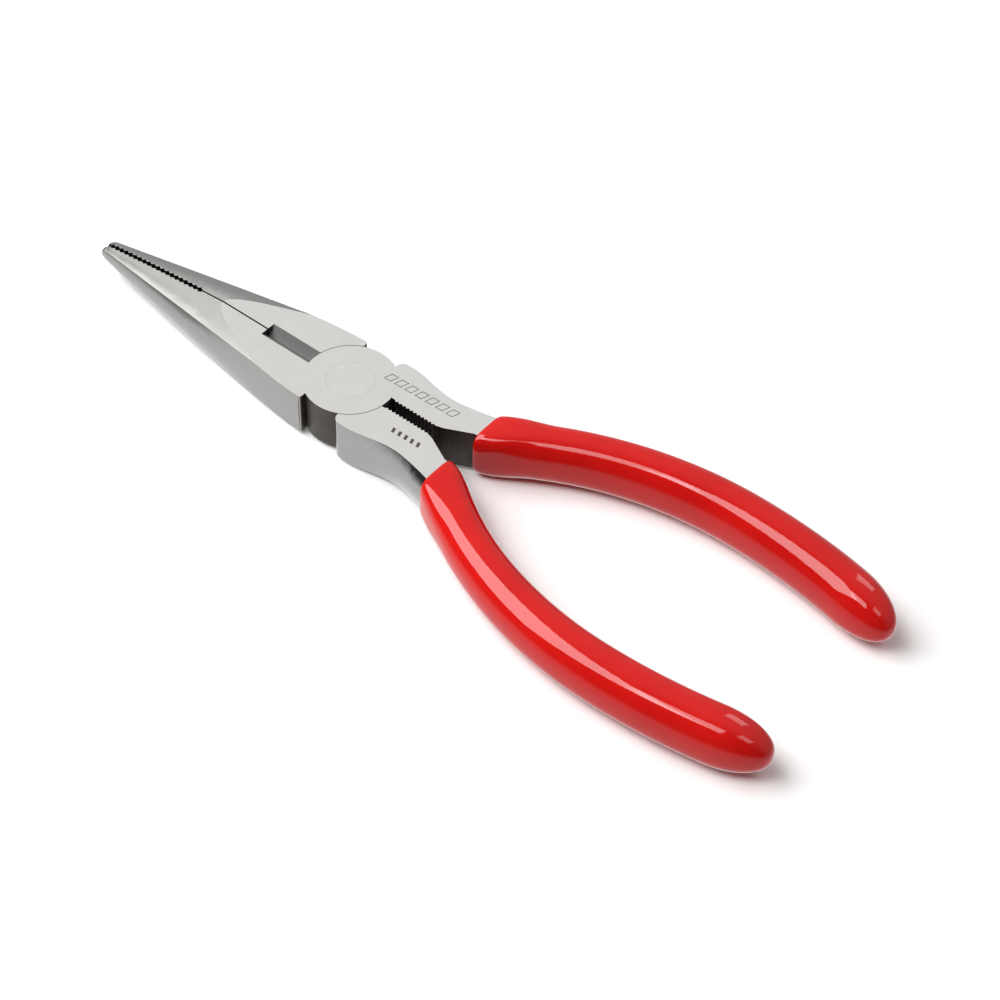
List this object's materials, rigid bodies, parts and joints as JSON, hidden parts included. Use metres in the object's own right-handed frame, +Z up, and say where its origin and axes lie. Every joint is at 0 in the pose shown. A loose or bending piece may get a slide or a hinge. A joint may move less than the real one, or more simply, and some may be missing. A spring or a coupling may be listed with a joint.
{
  "type": "long-nose pliers",
  "caption": "Long-nose side-cutting pliers with a riveted lap joint, toothed tapering jaws and bowed, dipped vinyl grips.",
  "frame": {"origin": "middle of the bounding box's bottom face, with the jaws closed and the tool lying flat", "axes": "+X from the jaw tips towards the handles, +Y towards the upper half's handle, +Z up along the pivot axis"},
  "size_m": [0.2088, 0.065, 0.0133],
  "materials": {
    "forged_steel": "fine-ground satin on the flats, cheeks and nose, dark inside the joint and between the teeth",
    "rivet_steel": "ground flush with the flats",
    "vinyl_grip": "glossy dipped vinyl"
  },
  "bodies": {
    "upper_arm": {"upper_half": "forged_steel", "upper_grip": "vinyl_grip"},
    "lower_arm": {"lower_half": "forged_steel", "lower_grip": "vinyl_grip", "pivot_rivet": "rivet_steel"}
  },
  "joints": [
    {"name": "pivot_hinge", "type": "hinge", "parent": "upper_arm", "child": "lower_arm", "pos_m": [-0.02732, 0, 0.00664], "axis": [0, 0, -1], "range_deg": [0, 45]}
  ]
}
